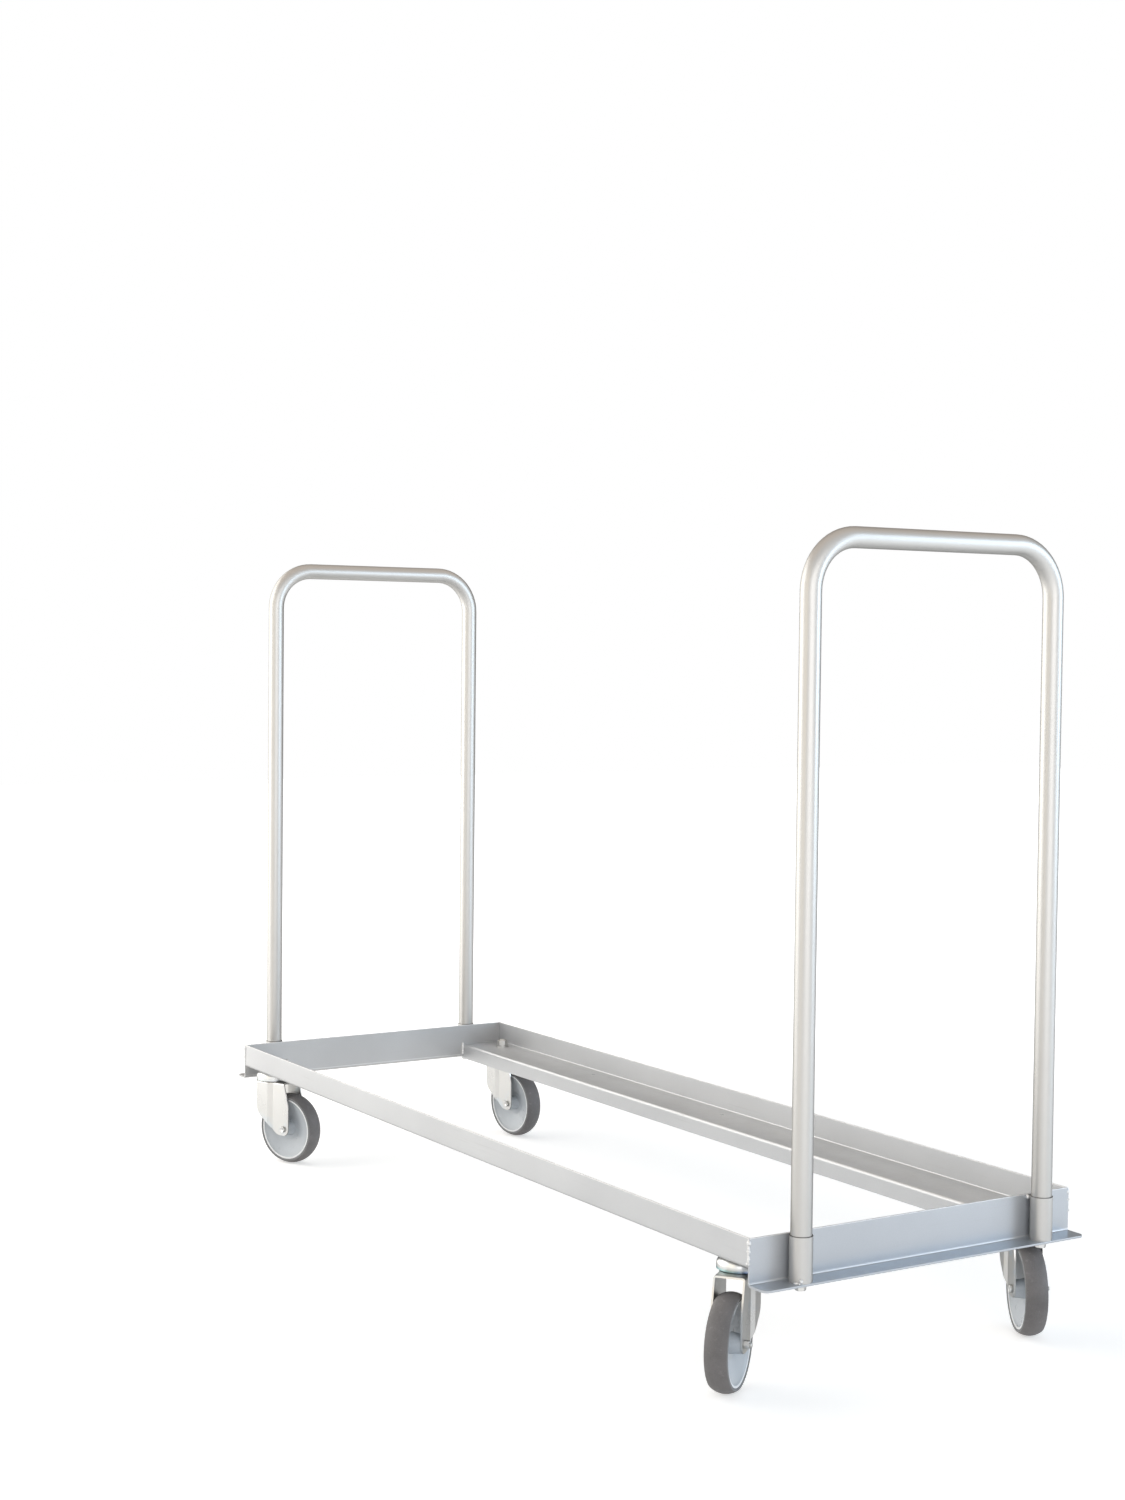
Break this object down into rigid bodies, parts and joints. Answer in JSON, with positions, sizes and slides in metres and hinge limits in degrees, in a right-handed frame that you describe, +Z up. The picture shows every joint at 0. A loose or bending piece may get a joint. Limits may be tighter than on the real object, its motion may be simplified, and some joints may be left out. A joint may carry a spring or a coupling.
{
  "type": "chair trolley",
  "caption": "Flat open-frame trolley of pressed steel rails on swivel castors, with an upright tube push hoop at each end, for moving stacks of chairs.",
  "frame": {"origin": "on the floor, under the middle of the rectangle of rails", "axes": "+X along the trolley to its front end, +Y to its left side, +Z up"},
  "size_m": [1.6431, 0.6181, 1.1033],
  "materials": {
    "frame_steel": "silver metallic paint, satin",
    "hoop_steel": "silver metallic paint, satin",
    "castor_steel": "bright zinc plate with a faint blue-green tint",
    "fastener_steel": "zinc plate",
    "wheel_plastic": "moulded, satin",
    "tyre_rubber": "grey rubber, matt"
  },
  "bodies": {
    "frame": {"side_rail_left": "frame_steel", "side_rail_right": "frame_steel", "end_rail_front": "frame_steel", "end_rail_rear": "frame_steel", "push_hoop_front": "hoop_steel", "push_hoop_rear": "hoop_steel", "hoop_plugs_front": "fastener_steel", "hoop_plugs_rear": "fastener_steel", "hoop_socket_front_left": "frame_steel", "hoop_socket_front_right": "frame_steel", "hoop_socket_rear_left": "frame_steel", "hoop_socket_rear_right": "frame_steel", "hoop_bolts": "fastener_steel", "hoop_washers": "fastener_steel", "castor_bolts": "fastener_steel", "castor_nuts": "fastener_steel", "castor_washers": "fastener_steel", "castor_cap_front_left": "castor_steel", "castor_cap_front_right": "castor_steel", "castor_cap_rear_left": "castor_steel", "castor_cap_rear_right": "castor_steel", "castor_race_front_left": "castor_steel", "castor_race_front_right": "castor_steel", "castor_race_rear_left": "castor_steel", "castor_race_rear_right": "castor_steel", "king_rivet_front_left": "fastener_steel", "king_rivet_front_right": "fastener_steel", "king_rivet_rear_left": "fastener_steel", "king_rivet_rear_right": "fastener_steel", "castor_balls_front_left": "fastener_steel", "castor_balls_front_right": "fastener_steel", "castor_balls_rear_left": "fastener_steel", "castor_balls_rear_right": "fastener_steel"},
    "castor_front_left": {"fork_front_left": "castor_steel", "axle_bolt_front_left": "fastener_steel", "axle_nut_front_left": "fastener_steel", "axle_sleeve_front_left": "fastener_steel"},
    "wheel_front_left": {"wheel_centre_front_left": "wheel_plastic", "tyre_front_left": "tyre_rubber"},
    "castor_front_right": {"fork_front_right": "castor_steel", "axle_bolt_front_right": "fastener_steel", "axle_nut_front_right": "fastener_steel", "axle_sleeve_front_right": "fastener_steel"},
    "wheel_front_right": {"wheel_centre_front_right": "wheel_plastic", "tyre_front_right": "tyre_rubber"},
    "castor_rear_left": {"fork_rear_left": "castor_steel", "axle_bolt_rear_left": "fastener_steel", "axle_nut_rear_left": "fastener_steel", "axle_sleeve_rear_left": "fastener_steel"},
    "wheel_rear_left": {"wheel_centre_rear_left": "wheel_plastic", "tyre_rear_left": "tyre_rubber"},
    "castor_rear_right": {"fork_rear_right": "castor_steel", "axle_bolt_rear_right": "fastener_steel", "axle_nut_rear_right": "fastener_steel", "axle_sleeve_rear_right": "fastener_steel"},
    "wheel_rear_right": {"wheel_centre_rear_right": "wheel_plastic", "tyre_rear_right": "tyre_rubber"}
  },
  "joints": [
    {"name": "swivel_front_left", "type": "hinge", "parent": "frame", "child": "castor_front_left", "pos_m": [0.7255, 0.245, 0.15], "axis": [0, 0, 1], "continuous": true},
    {"name": "roll_front_left", "type": "hinge", "parent": "castor_front_left", "child": "wheel_front_left", "pos_m": [0.76404, 0.22275, 0.0635], "axis": [0.5, 0.866, 0], "continuous": true},
    {"name": "swivel_front_right", "type": "hinge", "parent": "frame", "child": "castor_front_right", "pos_m": [0.7255, -0.245, 0.15], "axis": [0, 0, 1], "continuous": true},
    {"name": "roll_front_right", "type": "hinge", "parent": "castor_front_right", "child": "wheel_front_right", "pos_m": [0.75265, -0.28026, 0.0635], "axis": [0.7923, 0.6101, 0], "continuous": true},
    {"name": "swivel_rear_left", "type": "hinge", "parent": "frame", "child": "castor_rear_left", "pos_m": [-0.7255, 0.245, 0.15], "axis": [0, 0, 1], "continuous": true},
    {"name": "roll_rear_left", "type": "hinge", "parent": "castor_rear_left", "child": "wheel_rear_left", "pos_m": [-0.68135, 0.25058, 0.0635], "axis": [-0.1253, 0.9921, 0], "continuous": true},
    {"name": "swivel_rear_right", "type": "hinge", "parent": "frame", "child": "castor_rear_right", "pos_m": [-0.7255, -0.245, 0.15], "axis": [0, 0, 1], "continuous": true},
    {"name": "roll_rear_right", "type": "hinge", "parent": "castor_rear_right", "child": "wheel_rear_right", "pos_m": [-0.68457, -0.22754, 0.0635], "axis": [-0.3923, 0.9198, 0], "continuous": true}
  ]
}
